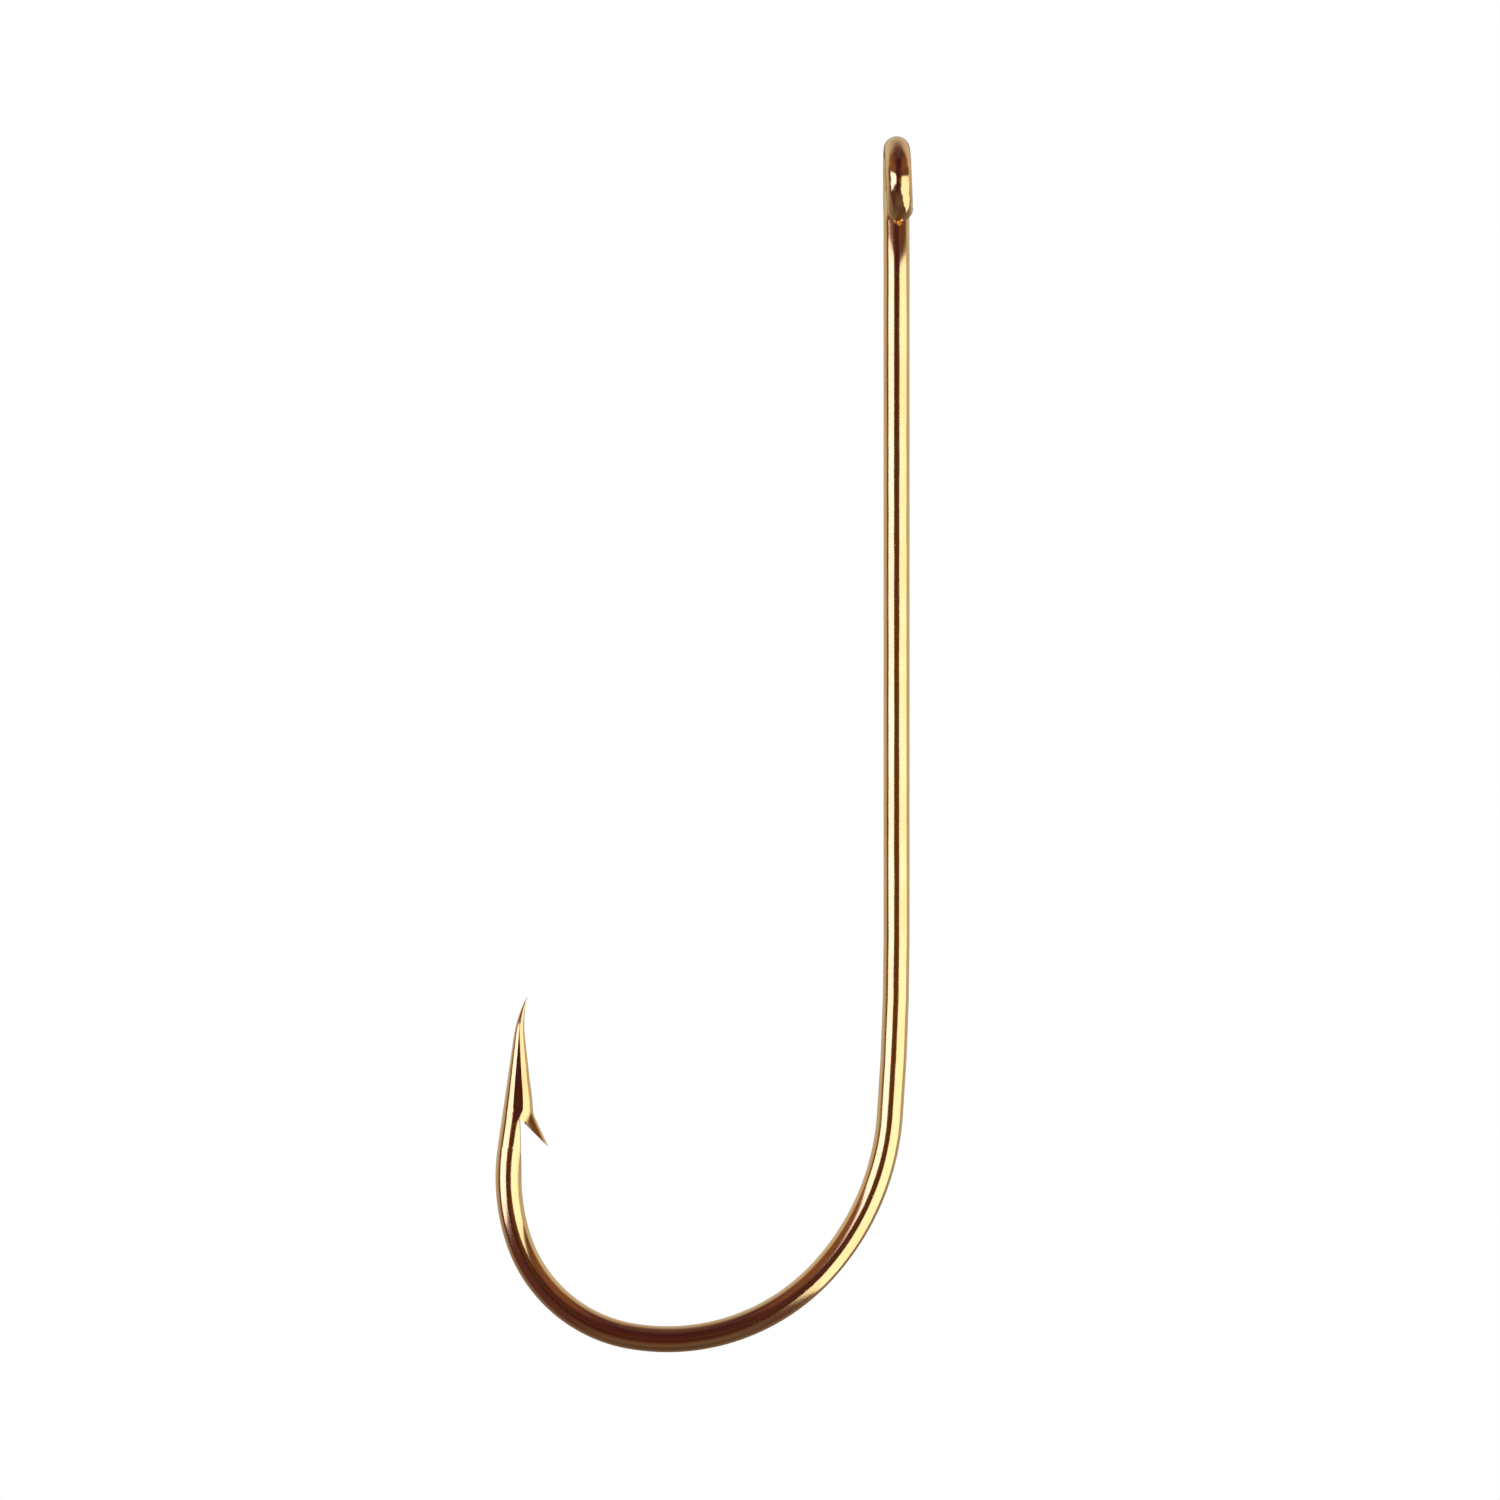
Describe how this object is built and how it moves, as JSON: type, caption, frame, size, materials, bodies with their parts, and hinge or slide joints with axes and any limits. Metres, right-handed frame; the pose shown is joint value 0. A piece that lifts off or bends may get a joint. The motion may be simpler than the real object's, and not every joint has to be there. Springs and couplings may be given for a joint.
{
  "type": "fishing hook",
  "caption": "Long-shank fishing hook in round wire: ringed eye for a line, straight shank, round bend and an inward-curved barbed point.",
  "frame": {"origin": "centre of the eye's bore, on the shank's centreline", "axes": "+Z along the shank towards the eye, so the bend hangs below the origin; +X along the bore, away from the point; +Y across the hook's plane"},
  "size_m": [0.0129, 0.0028, 0.038],
  "materials": {
    "gold_plate": "polished"
  },
  "bodies": {
    "root": {"eye": "gold_plate", "neck": "gold_plate", "shank": "gold_plate", "sweep": "gold_plate", "heel": "gold_plate", "base": "gold_plate", "front": "gold_plate", "throat": "gold_plate", "leg": "gold_plate", "point": "gold_plate", "barb": "gold_plate"}
  },
  "joints": []
}
